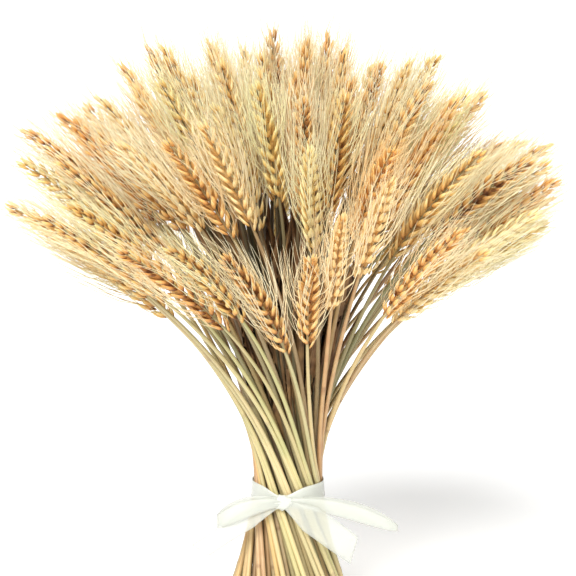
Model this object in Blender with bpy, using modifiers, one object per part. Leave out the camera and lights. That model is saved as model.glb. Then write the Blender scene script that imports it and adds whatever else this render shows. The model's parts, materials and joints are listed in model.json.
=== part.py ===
# A sheaf of dried wheat, tied with a satin ribbon and standing on its own cut ends.
# Metres, +Z up. The floor is z = 0, the tie's axis is x = y = 0, and the bow is in front, at -Y.

import math
import random

import bmesh
import bpy
import numpy as np
from mathutils import Matrix, Vector

SEED = 11
AWN_SEED = 13

# How the straws pass through the tie: rings of them, from the middle outwards
RING_COUNTS = (2, 8, 14, 20, 26, 30)
RING_RADII = (0.0012, 0.0054, 0.0093, 0.0132, 0.0171, 0.0210)
PARTNER_GAP = 0.0024  # between the axes of two straws that the tie presses into each other
BUNDLE_RADIUS = RING_RADII[-1]
WAIST_HEIGHT = 0.097  # the narrowest level, where the straws cross
TWIST_SLOPE = 0.40  # sideways lean of the outermost straws at the waist

# How the straws spread above the waist
FAN_HEIGHT = 0.193
DROOP = 0.114  # how far the outermost straw bends outwards by the fan height
DROOP_POWER = 2.2
DROOP_EVEN = 0.3  # share of the droop that grows evenly from the middle outwards
DEPTH_SHARE = 0.62  # depth of the head against its width
SHARE_DRIFT = 0.07
ANGLE_DRIFT = 6.0  # radians, shared among the stalks of a ring

# One stalk of wheat
REACH_ABOVE_TIE = 0.293  # from the tie to the tip of the ear
REACH_SPREAD = 0.016
CURVE_ALLOWANCE = 0.016  # what an outer stalk's curve takes up
RIM_SHORTENING = 0.026
LOW_SHORTENING = 0.045  # more, for the lowest ears of the rim
FACE_SHORTENING = 0.026  # for the ears at the front and the back
LOW_DROOP = 0.085  # how much further the lowest ears hang out
LOW_POWER = 4.5
EAR_LENGTHS = (0.082, 0.100)
STRAW_RADIUS = 0.00175
NECK_RADIUS = 0.00110  # the straw just under the ear
STRAW_LEVELS = (0.0, 0.33, 0.55, 0.77)  # shares of the straw's length that carry a section
TWIST_START = 0.4  # share of the straw's length below which it keeps straight sides
EAR_STEPS = 11
EAR_HALF_WIDTH = 0.0064
EAR_HALF_DEPTH = 0.0047
GROOVE_SHARE = 0.58  # width between two spikelets against the width over one
SPIKELET_REACH = 0.35  # how far a spikelet's tip stands forward, in steps
TIP_AWN = 0.014
AWN_RADIUS = 0.0006
AWN_LENGTH = 0.046
AWNS_AT = ((4, 1), (7, -1))  # the ear steps and sides that carry a long awn
AWN_TILTS = (9, 17)  # degrees off the ear
AWN_SWING = 1.2  # radians to either side of the spikelets' plane
AWN_ATTEMPTS = 40

# Ribbon
TIE_HEIGHT = 0.088
RIBBON_THICKNESS = 0.0008
BAND_HALF_HEIGHT = 0.0055
BAND_CLEARANCE = 0.0006
BAND_STEPS = 28
LEAN_ALLOWANCE = 1.08  # a leaning straw is this much thicker where a level cuts it
KNOT_X = -0.004
KNOT_DROP = 0.004  # how far the knot hangs below the middle of the band
KNOT_HALF = (0.0052, 0.0024, 0.0050)
KNOT_CLEARANCE = 0.0001
GATHERED_WIDTH = 0.005  # width of a loop or tail where it leaves the knot
LOOP_STEPS = 12
TAIL_STEPS = 8
LEFT_LOOP = {
    "heading": (-1, 0.06, 0),
    "reach": 0.042,
    "drop": 0.013,
    "belly": 0.0046,
    "hold": 0.0014,
    "width": 0.016,
    "pinch": 0.45,
}
RIGHT_LOOP = {
    "heading": (1, 0.10, 0),
    "reach": 0.076,
    "drop": 0.019,
    "belly": 0.0044,
    "hold": 0.0007,
    "width": 0.015,
    "pinch": 0.75,
}
LEFT_TAIL = {
    "heading": (-1, 0.02, 0),
    "reach": 0.053,
    "drop": 0.032,
    "bulge": 0.003,
    "hold": -0.0002,
    "width": 0.012,
}
RIGHT_TAIL = {
    "heading": (1, -0.02, 0),
    "reach": 0.047,
    "drop": 0.031,
    "bulge": 0.004,
    "hold": 0.0002,
    "width": 0.018,
}

STRAW_COLOUR = (0.72, 0.62, 0.36, 1)
RIBBON_COLOUR = (0.93, 0.93, 0.87, 1)

SAMPLE_STEP = 0.002  # between the points of a centreline
SLOPE_STEP = 0.0005
CLEARANCE = 0.0008  # kept between two stalks
EAR_ALLOWANCE = 1.05  # an ear counts as this much wider when stalks are kept apart
CHECK_LEVELS = np.arange(WAIST_HEIGHT + 0.050, 0.450, 0.004)
ATTEMPTS = 100


def clear_scene():
    for obj in list(bpy.data.objects):
        bpy.data.objects.remove(obj)


def make_material(name, colour, roughness):
    material = bpy.data.materials.new(name)
    material.use_nodes = True
    shader = material.node_tree.nodes["Principled BSDF"]
    shader.inputs["Base Color"].default_value = colour
    shader.inputs["Roughness"].default_value = roughness
    return material


def ease(t):
    t = min(max(t, 0.0), 1.0)
    return t * t * (3 - 2 * t)


def stalk_point(stalk, z):
    """Where the stalk's centreline crosses the level z."""
    lift = z - WAIST_HEIGHT
    rise = max(0.0, lift) / FAN_HEIGHT
    share = stalk["share"] + stalk["share_drift"] * ease(rise)
    slant = TWIST_SLOPE * lift / BUNDLE_RADIUS
    bend = DROOP * rise**DROOP_POWER * (DROOP_EVEN * share + (1 - DROOP_EVEN) * share**4)
    bend += LOW_DROOP * rise**LOW_POWER * stalk["low"]
    reach = share * BUNDLE_RADIUS * math.hypot(1, slant) + bend
    turn = stalk["angle"] + stalk["angle_drift"] * ease(rise) - math.atan(slant)
    depth = 1 - (1 - DEPTH_SHARE) * ease(rise)
    return Vector((reach * math.cos(turn), reach * math.sin(turn) * depth, z))


def trace_stalk(stalk):
    """Fills in the stalk's centreline as points SAMPLE_STEP apart, from the floor to the tip of the ear."""
    points = [stalk_point(stalk, 0.0)]
    length, tie_length, z = 0.0, None, 0.0
    while tie_length is None or length < tie_length + stalk["reach"]:
        slope = (stalk_point(stalk, z + SLOPE_STEP) - stalk_point(stalk, z)).length / SLOPE_STEP
        z += SAMPLE_STEP / slope
        points.append(stalk_point(stalk, z))
        length += (points[-1] - points[-2]).length
        if tie_length is None and z >= TIE_HEIGHT:
            tie_length = length
    stalk["points"] = points
    stalk["ear_start"] = len(points) - 1 - round(stalk["ear_length"] / SAMPLE_STEP)


def trace_levels(stalk):
    """Position, direction and half-width of the stalk at each of CHECK_LEVELS, for keeping it clear of others."""
    points, start = stalk["points"], stalk["ear_start"]
    heights = np.array([p.z for p in points])
    places = np.array([tuple(p) for p in points])
    columns = [np.interp(CHECK_LEVELS, heights, places[:, axis]) for axis in range(3)]
    at = np.stack(columns, axis=1)
    along = np.gradient(at, axis=0)
    along /= np.maximum(np.linalg.norm(along, axis=1), 1e-9)[:, None]
    half = np.where(CHECK_LEVELS < heights[start], STRAW_RADIUS, EAR_HALF_WIDTH * EAR_ALLOWANCE)
    half[CHECK_LEVELS > heights[-1]] = -1.0
    return at, along, half


def least_room(levels, others, partner):
    """The stalk's smallest gap to the placed ones; its partner may touch it below the ears."""
    at, along, half = levels
    least = 1.0
    for k, (other_at, _, other_half) in enumerate(others):
        offset = at - other_at
        offset = offset - along * (offset * along).sum(axis=1)[:, None]
        room = np.linalg.norm(offset, axis=1) - half - other_half - CLEARANCE
        if k == partner:
            room = room[(half > STRAW_RADIUS) | (other_half > STRAW_RADIUS)]
        least = min(least, room.min(initial=least))
    return least


def stalk_cloud(stalk):
    """Points and radii that stand for the stalk's upper part when awns are kept clear of it."""
    points, start = stalk["points"], stalk["ear_start"]
    cloud = [(p, STRAW_RADIUS if i < start else EAR_HALF_WIDTH * 0.9) for i, p in enumerate(points) if i > start / 2]
    ahead = (points[-1] - points[-3]).normalized()
    cloud = cloud[::2] + [(points[-1] + ahead * TIP_AWN * k / 8, AWN_RADIUS) for k in range(1, 9)]
    return np.array([[*p, r] for p, r in cloud])


def awn_clear(line, cloud):
    gap = np.linalg.norm(line[:, None, :3] - cloud[None, :, :3], axis=2) - line[:, None, 3] - cloud[None, :, 3]
    return gap.min() > CLEARANCE


def lay_out_stalks():
    """Every stalk of the sheaf, two by two, each clear of the ones before it."""
    rng = random.Random(SEED)
    stalks, placed = [], []
    for count, radius in zip(RING_COUNTS, RING_RADII):
        pairs = count // 2
        offset = rng.uniform(0, math.tau)
        half_gap = math.asin(PARTNER_GAP / 2 / radius)
        share = radius / BUNDLE_RADIUS
        for k in range(count):
            side = 1 if k % 2 else -1
            best = (-1.0, None, None)
            for attempt in range(ATTEMPTS):
                room = 1 - 0.5 * attempt / ATTEMPTS
                low = rng.random() * share**6
                stalk = {
                    "share": share,
                    "low": low,
                    "angle": offset + math.tau * (k // 2) / pairs + side * half_gap,
                    "share_drift": rng.uniform(-1, 0.3) * SHARE_DRIFT * room,
                    "angle_drift": (rng.uniform(-1, 1) * ANGLE_DRIFT * room + side * 0.5) / (2 * pairs),
                    "reach": REACH_ABOVE_TIE
                    + rng.uniform(-1, 0.4) * REACH_SPREAD
                    + CURVE_ALLOWANCE * share
                    - RIM_SHORTENING * share**6
                    - LOW_SHORTENING * low,
                    "ear_length": rng.uniform(*EAR_LENGTHS),
                    "roll": rng.uniform(0, math.pi),
                }
                top = stalk_point(stalk, WAIST_HEIGHT + FAN_HEIGHT)
                stalk["reach"] -= FACE_SHORTENING * share * abs(top.y) / top.xy.length
                trace_stalk(stalk)
                levels = trace_levels(stalk)
                found = least_room(levels, placed, len(placed) - 1 if k % 2 else None)
                if found > best[0]:
                    best = (found, stalk, levels)
                if found >= 0:
                    break
            stalks.append(best[1])
            placed.append(best[2])
    return stalks


def stalk_frames(stalk):
    """Direction and sideways axis at each point of the centreline, carried along without twist."""
    points = stalk["points"]
    ahead = [(points[min(i + 1, len(points) - 1)] - points[max(i - 1, 0)]).normalized() for i in range(len(points))]
    outward = Vector((points[0].x, points[0].y, 0))
    across = Vector((0, 0, 1)).cross(outward).normalized()
    frames = []
    for direction in ahead:
        across = (across - direction * across.dot(direction)).normalized()
        frames.append((direction, across))
    return frames


def ear_frame(stalk, frames, index):
    """Direction, width axis and depth axis of the ear at a point of the centreline."""
    direction, across = frames[index]
    width = Matrix.Rotation(stalk["roll"], 3, direction) @ across
    return direction, width, direction.cross(width)


def ear_outline(t):
    """Width of the ear along its length, against its widest."""
    return min(1, 0.60 + 2.4 * t) * (1 - 0.48 * ease((t - 0.45) / 0.55))


def stalk_sections(stalk):
    """The four corners of each of the stalk's sections, from the cut end up, and the tip of its awn."""
    points, start = stalk["points"], stalk["ear_start"]
    frames = stalk_frames(stalk)
    sections = []
    # A quarter turn only swaps the corners, so the straw itself twists by less than an eighth
    quarter = round(stalk["roll"] / (math.pi / 2)) * math.pi / 2
    for level in STRAW_LEVELS:
        i = round(level * start)
        radius = STRAW_RADIUS + (NECK_RADIUS - STRAW_RADIUS) * level**2
        direction, across = frames[i]
        roll = quarter + (stalk["roll"] - quarter) * ease((level - TWIST_START) / (1 - TWIST_START))
        width = Matrix.Rotation(roll, 3, direction) @ across
        depth = direction.cross(width)
        corners = [points[i] + axis * radius for axis in (width, depth, -width, -depth)]
        if level == 0:
            corners = [c - direction * (c.z / direction.z) for c in corners]
        sections.append(corners)
    direction, width, depth = ear_frame(stalk, frames, start)
    sections.append([points[start] + axis * NECK_RADIUS for axis in (width, depth, -width, -depth)])
    last = len(points) - 1
    pitch = (last - start) / EAR_STEPS
    for step in range(1, EAR_STEPS):
        corners = []
        outline = ear_outline((step - 0.5) / (EAR_STEPS - 1))
        for corner in range(4):
            stands_out = corner in (0, 2) and (step + corner // 2) % 2 == 0
            forward = SPIKELET_REACH if stands_out else 0.0
            at = min(start + pitch * (step + forward - 0.5), last)
            i = int(at)
            centre = points[i].lerp(points[min(i + 1, last)], at - i)
            direction, width, depth = ear_frame(stalk, frames, i)
            if corner in (1, 3):
                size, axis = EAR_HALF_DEPTH * outline, depth
            else:
                size, axis = EAR_HALF_WIDTH * outline * (1 if stands_out else GROOVE_SHARE), width
            corners.append(centre + axis * size * (1 if corner < 2 else -1))
        sections.append(corners)
    return sections, points[last] + frames[last][0] * TIP_AWN


def stalk_mesh(stalk, name):
    """One stalk: straw, ear with its two rows of spikelets, and the awn at its tip."""
    sections, tip = stalk_sections(stalk)
    bm = bmesh.new()
    rings = [[bm.verts.new(corner) for corner in corners] for corners in sections]
    for low, high in zip(rings, rings[1:]):
        for k in range(4):
            bm.faces.new((low[k], low[(k + 1) % 4], high[(k + 1) % 4], high[k]))
    bm.faces.new(rings[0][::-1])
    apex = bm.verts.new(tip)
    for k in range(4):
        bm.faces.new((rings[-1][k], rings[-1][(k + 1) % 4], apex))
    bmesh.ops.triangulate(bm, faces=bm.faces[:])
    bmesh.ops.recalc_face_normals(bm, faces=bm.faces[:])
    mesh = bpy.data.meshes.new(name)
    bm.to_mesh(mesh)
    bm.free()
    return mesh


def awn_line(stalk, step, side, tilt, swing):
    """Root and tip of one long awn that leaves the ear beside a spikelet."""
    points, start = stalk["points"], stalk["ear_start"]
    i = round(start + (len(points) - 1 - start) * (step - 0.5) / EAR_STEPS)
    direction, width, depth = ear_frame(stalk, stalk_frames(stalk), i)
    sideways = (width * side * math.cos(swing) + depth * math.sin(swing)).normalized()
    heading = direction * math.cos(tilt) + sideways * math.sin(tilt)
    root = points[i] + sideways * EAR_HALF_DEPTH * 0.25
    return root, root + heading * AWN_LENGTH


def awn_mesh(root, tip, name):
    """A three-sided needle from root to tip."""
    bm = bmesh.new()
    heading = tip - root
    turned = heading.to_track_quat("Z", "Y").to_matrix().to_4x4()
    bmesh.ops.create_cone(
        bm,
        cap_ends=True,
        segments=3,
        radius1=AWN_RADIUS,
        radius2=0,
        depth=heading.length,
        matrix=Matrix.Translation((root + tip) / 2) @ turned,
    )
    mesh = bpy.data.meshes.new(name)
    bm.to_mesh(mesh)
    bm.free()
    return mesh


def choose_awns(stalk, others, rng):
    """The long awns of an ear, each swung until it is clear of every other stalk and awn."""
    chosen = []
    for step, side in AWNS_AT:
        for attempt in range(AWN_ATTEMPTS):
            tilt = math.radians(rng.uniform(*AWN_TILTS))
            swing = rng.uniform(-AWN_SWING, AWN_SWING)
            root, tip = awn_line(stalk, step, side, tilt, swing)
            line = np.array([[*root.lerp(tip, t / 24), AWN_RADIUS] for t in range(25)])
            if awn_clear(line, others):
                chosen.append((root, tip, line))
                break
    return chosen


def tidy_union(mesh):
    """Removes the inner walls of pockets sealed between two straws."""
    bm = bmesh.new()
    bm.from_mesh(mesh)
    unseen = set(bm.verts)
    while unseen:
        island, edge = set(), [unseen.pop()]
        while edge:
            vert = edge.pop()
            island.add(vert)
            near = {e.other_vert(vert) for e in vert.link_edges} & unseen
            unseen -= near
            edge += near
        faces = {face for vert in island for face in vert.link_faces}
        volume = sum(f.calc_area() * f.normal.dot(f.calc_center_median()) for f in faces)
        if volume < 0:
            bmesh.ops.delete(bm, geom=list(island), context="VERTS")
    bm.to_mesh(mesh)
    bm.free()


def join_solids(name, meshes, material, collection):
    """One closed body from overlapping solids, by a Boolean union."""
    base = bpy.data.objects.new(name, meshes[0])
    collection.objects.link(base)
    extra = bpy.data.collections.new(name + "_joins")
    bpy.context.scene.collection.children.link(extra)
    for k, mesh in enumerate(meshes[1:]):
        extra.objects.link(bpy.data.objects.new(f"{name}_join_{k}", mesh))
    union = base.modifiers.new("Join", "BOOLEAN")
    union.operation = "UNION"
    union.solver = "MANIFOLD"
    union.operand_type = "COLLECTION"
    union.collection = extra
    bpy.context.view_layer.update()
    graph = bpy.context.evaluated_depsgraph_get()
    joined = bpy.data.meshes.new_from_object(base.evaluated_get(graph))
    base.modifiers.remove(union)
    tidy_union(joined)
    base.data = joined
    joined.materials.clear()
    joined.materials.append(material)
    for obj in list(extra.objects):
        bpy.data.objects.remove(obj)
    bpy.data.collections.remove(extra)
    return base


def build_wheat(collection):
    """Two stalks to a node, pressed into each other where the ribbon holds them."""
    straw = make_material("dried_wheat", STRAW_COLOUR, 0.65)
    stalks = lay_out_stalks()
    clouds = [stalk_cloud(stalk) for stalk in stalks]
    rng = random.Random(AWN_SEED)
    awns, lines = [], []
    for i, stalk in enumerate(stalks):
        others = np.concatenate(clouds[:i] + clouds[i + 1 :] + lines)
        awns.append(choose_awns(stalk, others, rng))
        lines += [line for _, _, line in awns[-1]]
    for pair in range(len(stalks) // 2):
        name = f"wheat_pair_{pair + 1:02d}"
        members = (2 * pair, 2 * pair + 1)
        meshes = [stalk_mesh(stalks[i], name) for i in members]
        meshes += [awn_mesh(root, tip, name) for i in members for root, tip, _ in awns[i]]
        join_solids(name, meshes, straw, collection)


def strip_mesh(name, spine, widths, facings):
    """A ribbon along the spine: a one-face-wide strip, thickened by Solidify."""
    bm = bmesh.new()
    rows = [
        [bm.verts.new(p + f * w / 2), bm.verts.new(p - f * w / 2)] for p, w, f in zip(spine, widths, facings)
    ]
    for a, b in zip(rows, rows[1:]):
        bm.faces.new((a[0], a[1], b[1], b[0]))
    mesh = bpy.data.meshes.new(name)
    bm.to_mesh(mesh)
    bm.free()
    obj = bpy.data.objects.new(name, mesh)
    bpy.context.scene.collection.objects.link(obj)
    wall = obj.modifiers.new("Thickness", "SOLIDIFY")
    wall.thickness = RIBBON_THICKNESS
    wall.offset = 0
    bpy.context.view_layer.update()
    solid = bpy.data.meshes.new_from_object(obj.evaluated_get(bpy.context.evaluated_depsgraph_get()))
    bpy.data.objects.remove(obj)
    return solid


def band_radius(z):
    """Inside of the ribbon band at the level z, just clear of the outermost straws."""
    slant = TWIST_SLOPE * (z - WAIST_HEIGHT) / BUNDLE_RADIUS
    return BUNDLE_RADIUS * math.hypot(1, slant) + STRAW_RADIUS * LEAN_ALLOWANCE + BAND_CLEARANCE


def band_mesh():
    """The ribbon where it goes round the straws."""
    top, low = TIE_HEIGHT + BAND_HALF_HEIGHT, TIE_HEIGHT - BAND_HALF_HEIGHT
    profile = [
        (band_radius(top) + RIBBON_THICKNESS, top),
        (band_radius(low) + RIBBON_THICKNESS, low),
        (band_radius(low), low),
        (band_radius(top), top),
    ]
    mesh = bpy.data.meshes.new("band")
    mesh.from_pydata([(r, 0, z) for r, z in profile], [(0, 1), (1, 2), (2, 3), (3, 0)], [])
    obj = bpy.data.objects.new("band", mesh)
    bpy.context.scene.collection.objects.link(obj)
    turned = obj.modifiers.new("Turn", "SCREW")
    turned.steps = turned.render_steps = BAND_STEPS
    turned.use_merge_vertices = True
    turned.merge_threshold = 0.00005
    bpy.context.view_layer.update()
    solid = bpy.data.meshes.new_from_object(obj.evaluated_get(bpy.context.evaluated_depsgraph_get()))
    bpy.data.objects.remove(obj)
    return solid


def knot_centre():
    """Middle of the knot, just in front of the band."""
    height = TIE_HEIGHT - KNOT_DROP
    return Vector((KNOT_X, -band_radius(height) - KNOT_HALF[1] - KNOT_CLEARANCE, height))


def knot_mesh():
    bm = bmesh.new()
    bmesh.ops.create_uvsphere(bm, u_segments=10, v_segments=6, radius=1)
    bmesh.ops.scale(bm, vec=KNOT_HALF, verts=bm.verts[:])
    bmesh.ops.translate(bm, vec=knot_centre(), verts=bm.verts[:])
    mesh = bpy.data.meshes.new("knot")
    bm.to_mesh(mesh)
    bm.free()
    return mesh


def loop_mesh(name, heading, reach, drop, belly, hold, width, pinch):
    """One loop of the bow: out from the knot on its front, and back behind."""
    heading = Vector(heading).normalized()
    back = Vector((0, 1, 0)) - heading * heading.y
    spine, widths, facings = [], [], []
    for k in range(LOOP_STEPS + 1):
        t = k / LOOP_STEPS
        out = math.sin(math.pi * t)
        behind = -hold * math.cos(math.pi * t) - belly * math.sin(math.tau * t)
        spine.append(knot_centre() + heading * reach * out + back * behind - Vector((0, 0, drop * out**2)))
        widths.append(GATHERED_WIDTH + (width * (1 - pinch * out**5) - GATHERED_WIDTH) * out**0.7)
        facings.append(Vector((0, 0, 1)))
    return strip_mesh(name, spine, widths, facings)


def tail_mesh(name, heading, reach, drop, bulge, hold, width):
    """One free end of the ribbon, hanging from the knot."""
    heading = Vector(heading).normalized()
    spine, widths = [], []
    for k in range(TAIL_STEPS + 1):
        t = k / TAIL_STEPS
        out = Vector((0, -1, 0)) * (hold + bulge * math.sin(math.pi * t * 0.8))
        spine.append(knot_centre() + heading * reach * t - Vector((0, 0, drop * t**1.2)) + out)
        widths.append(GATHERED_WIDTH + (width - GATHERED_WIDTH) * min(1, 2.5 * t))
    facings = []
    for k in range(TAIL_STEPS + 1):
        run = spine[min(k + 1, TAIL_STEPS)] - spine[max(k - 1, 0)]
        facings.append(run.cross(Vector((0, -1, 0.15))).normalized())
    return strip_mesh(name, spine, widths, facings)


def build_ribbon(collection):
    satin = make_material("ribbon_satin", RIBBON_COLOUR, 0.35)
    meshes = [
        band_mesh(),
        knot_mesh(),
        loop_mesh("left_loop", **LEFT_LOOP),
        loop_mesh("right_loop", **RIGHT_LOOP),
        tail_mesh("left_tail", **LEFT_TAIL),
        tail_mesh("right_tail", **RIGHT_TAIL),
    ]
    join_solids("ribbon", meshes, satin, collection)


def main():
    clear_scene()
    collection = bpy.data.collections.new("wheat_sheaf")
    bpy.context.scene.collection.children.link(collection)
    build_wheat(collection)
    build_ribbon(collection)


main()
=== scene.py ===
import json
import math
import random

import bmesh
import bpy
import numpy as np
from mathutils import Matrix, Vector

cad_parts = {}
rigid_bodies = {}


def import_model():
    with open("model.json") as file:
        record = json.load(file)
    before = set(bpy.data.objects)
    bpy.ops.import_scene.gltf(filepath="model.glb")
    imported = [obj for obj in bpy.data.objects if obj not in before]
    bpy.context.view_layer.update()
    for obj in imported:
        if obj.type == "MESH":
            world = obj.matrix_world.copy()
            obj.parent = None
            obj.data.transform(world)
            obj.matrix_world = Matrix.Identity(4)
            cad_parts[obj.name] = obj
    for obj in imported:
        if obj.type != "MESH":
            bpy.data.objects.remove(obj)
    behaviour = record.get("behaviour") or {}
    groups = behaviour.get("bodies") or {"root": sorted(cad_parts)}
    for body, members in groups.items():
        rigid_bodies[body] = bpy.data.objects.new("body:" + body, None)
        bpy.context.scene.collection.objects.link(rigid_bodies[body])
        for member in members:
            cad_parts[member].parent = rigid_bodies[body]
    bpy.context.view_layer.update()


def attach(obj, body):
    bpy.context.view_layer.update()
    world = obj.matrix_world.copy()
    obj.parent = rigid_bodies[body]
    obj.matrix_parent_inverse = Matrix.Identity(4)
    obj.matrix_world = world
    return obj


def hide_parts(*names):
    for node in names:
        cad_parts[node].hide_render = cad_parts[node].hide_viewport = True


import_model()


# Where every straw runs, by the same rule and draws as the solids

sheaf = {
    "seed": 11,
    "ringCounts": (2, 8, 14, 20, 26, 30),  # straws in each ring, from the middle out
    "ringRadii": (0.0012, 0.0054, 0.0093, 0.0132, 0.0171, 0.0210),
    "partnerGap": 0.0024,  # between the centrelines of a pair
    "waistHeight": 0.097,  # where the bundle is narrowest
    "tieHeight": 0.088,
    "twistSlope": 0.40,  # how far an outermost straw runs sideways for its height
    "fanHeight": 0.193,  # height above the waist that the droop is given for
    "droop": 0.114,  # how far an outermost straw leans out there
    "droopPower": 2.2,
    "droopEven": 0.3,  # the part of the droop that grows evenly from the middle out
    "depthShare": 0.62,  # depth of the head to its width
    "shareDrift": 0.07,
    "angleDrift": 6.0,
    "reach": 0.293,  # along a straw, from the tie to the ear's tip
    "reachSpread": 0.016,
    "curveAllowance": 0.016,
    "rimShortening": 0.026,
    "lowShortening": 0.045,
    "faceShortening": 0.026,
    "rimPower": 6,  # how closely the low ears keep to the rim
    "lowDroop": 0.085,
    "lowPower": 4.5,
    "earLengths": (0.082, 0.100),
    "strawRadius": 0.00175,
    "earHalfWidth": 0.0064,
    "earRoom": 1.05,
    "sampleStep": 0.002,
    "slopeStep": 0.0005,
    "checkStart": 0.050,  # above the waist
    "checkTop": 0.450,
    "checkStep": 0.004,
    "clearance": 0.0008,
    "attempts": 100,
}
bundleRadius = sheaf["ringRadii"][-1]
checkLevels = np.arange(sheaf["waistHeight"] + sheaf["checkStart"], sheaf["checkTop"], sheaf["checkStep"])


def ease(t):
    t = min(max(t, 0.0), 1.0)
    return t * t * (3 - 2 * t)


def stalkPoint(stalk, z):
    lift = z - sheaf["waistHeight"]
    rise = max(0.0, lift) / sheaf["fanHeight"]
    share = stalk["share"] + stalk["shareDrift"] * ease(rise)
    slant = sheaf["twistSlope"] * lift / bundleRadius
    even = sheaf["droopEven"]
    bend = sheaf["droop"] * rise**sheaf["droopPower"] * (even * share + (1 - even) * share**4)
    bend += sheaf["lowDroop"] * rise**sheaf["lowPower"] * stalk["low"]
    reach = share * bundleRadius * math.hypot(1, slant) + bend
    turn = stalk["angle"] + stalk["angleDrift"] * ease(rise) - math.atan(slant)
    depth = 1 - (1 - sheaf["depthShare"]) * ease(rise)
    return Vector((reach * math.cos(turn), reach * math.sin(turn) * depth, z))


def traceStalk(stalk):
    # points sampleStep apart, from the floor to the tip of the ear
    points = [stalkPoint(stalk, 0.0)]
    length, tieLength, z = 0.0, None, 0.0
    step = sheaf["slopeStep"]
    while tieLength is None or length < tieLength + stalk["reach"]:
        slope = (stalkPoint(stalk, z + step) - stalkPoint(stalk, z)).length / step
        z += sheaf["sampleStep"] / slope
        points.append(stalkPoint(stalk, z))
        length += (points[-1] - points[-2]).length
        if tieLength is None and z >= sheaf["tieHeight"]:
            tieLength = length
    stalk["points"] = points
    stalk["earStart"] = len(points) - 1 - round(stalk["earLength"] / sheaf["sampleStep"])


def traceLevels(stalk):
    # where the stalk is at each level, its direction there and its half width, -1 above its tip
    points, start = stalk["points"], stalk["earStart"]
    heights = np.array([p.z for p in points])
    places = np.array([tuple(p) for p in points])
    columns = [np.interp(checkLevels, heights, places[:, axis]) for axis in range(3)]
    at = np.stack(columns, axis=1)
    along = np.gradient(at, axis=0)
    along /= np.maximum(np.linalg.norm(along, axis=1), 1e-9)[:, None]
    earHalf = sheaf["earHalfWidth"] * sheaf["earRoom"]
    half = np.where(checkLevels < heights[start], sheaf["strawRadius"], earHalf)
    half[checkLevels > heights[-1]] = -1.0
    return at, along, half


def leastRoom(levels, others, partner):
    # the narrowest gap to any stalk already placed; partners may touch below their ears
    at, along, half = levels
    least = 1.0
    for k, (otherAt, _, otherHalf) in enumerate(others):
        offset = at - otherAt
        offset = offset - along * (offset * along).sum(axis=1)[:, None]
        room = np.linalg.norm(offset, axis=1) - half - otherHalf - sheaf["clearance"]
        if k == partner:
            room = room[(half > sheaf["strawRadius"]) | (otherHalf > sheaf["strawRadius"])]
        least = min(least, room.min(initial=least))
    return least


def drawStalk(rng, share, angle, side, pairs, room):
    atRim = share ** sheaf["rimPower"]
    low = rng.random() * atRim
    stalk = {
        "share": share,
        "low": low,
        "angle": angle,
        "shareDrift": rng.uniform(-1, 0.3) * sheaf["shareDrift"] * room,
        "angleDrift": (rng.uniform(-1, 1) * sheaf["angleDrift"] * room + side * 0.5) / (2 * pairs),
        "reach": sheaf["reach"]
        + rng.uniform(-1, 0.4) * sheaf["reachSpread"]
        + sheaf["curveAllowance"] * share
        - sheaf["rimShortening"] * atRim
        - sheaf["lowShortening"] * low,
        "earLength": rng.uniform(*sheaf["earLengths"]),
        "roll": rng.uniform(0, math.pi),
    }
    top = stalkPoint(stalk, sheaf["waistHeight"] + sheaf["fanHeight"])
    stalk["reach"] -= sheaf["faceShortening"] * share * abs(top.y) / top.xy.length
    traceStalk(stalk)
    return stalk


def layOutStalks():
    rng = random.Random(sheaf["seed"])
    stalks, placed = [], []
    for count, radius in zip(sheaf["ringCounts"], sheaf["ringRadii"]):
        pairs = count // 2
        offset = rng.uniform(0, math.tau)
        halfGap = math.asin(sheaf["partnerGap"] / 2 / radius)
        share = radius / bundleRadius
        for k in range(count):
            side = 1 if k % 2 else -1
            angle = offset + math.tau * (k // 2) / pairs + side * halfGap
            best = (-1.0, None, None)
            for attempt in range(sheaf["attempts"]):
                room = 1 - 0.5 * attempt / sheaf["attempts"]
                stalk = drawStalk(rng, share, angle, side, pairs, room)
                levels = traceLevels(stalk)
                found = leastRoom(levels, placed, len(placed) - 1 if k % 2 else None)
                if found > best[0]:
                    best = (found, stalk, levels)
                if found >= 0:
                    break
            stalks.append(best[1])
            placed.append(best[2])
    return stalks


def stalkFrames(stalk):
    # direction and sideways axis at each point, carried along without twist
    points = stalk["points"]
    last = len(points) - 1
    ahead = [(points[min(i + 1, last)] - points[max(i - 1, 0)]).normalized() for i in range(last + 1)]
    across = Vector((0, 0, 1)).cross(Vector((points[0].x, points[0].y, 0))).normalized()
    frames = []
    for direction in ahead:
        across = (across - direction * across.dot(direction)).normalized()
        frames.append((direction, across))
    return frames


# Colours and surface patterns

finish = {
    "strawGreen": (0.48, 0.45, 0.22, 1),
    "strawGold": (0.66, 0.52, 0.28, 1),
    "strawTan": (0.50, 0.30, 0.15, 1),
    # a dark brown at the foot of each husk: painted shade where the husks overlap
    "huskShadeBrown": (0.20, 0.07, 0.018, 1),
    "huskWarm": (0.66, 0.31, 0.085, 1),
    "huskGold": (0.91, 0.59, 0.21, 1),
    "huskPale": (0.94, 0.77, 0.41, 1),
    "awnPale": (1.0, 0.92, 0.64, 1),
    "awnWarm": (0.86, 0.60, 0.28, 1),
    # leaf browns; the dark one is partly the dry leaves' own colour, partly a stand-in for the shade among
    # the inner straws
    "leafTan": (0.40, 0.22, 0.09, 1),
    "leafDarkAndShade": (0.13, 0.06, 0.022, 1),
    "coolCast": (0.95, 1.0, 0.84, 1),
    "noCast": (1, 1, 1, 1),
    "warmCast": (1.0, 0.80, 0.58, 1),
    "ribbonWhite": (0.72, 0.73, 0.68, 1),
    "ribbonShade": (0.63, 0.66, 0.57, 1),
}
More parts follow.
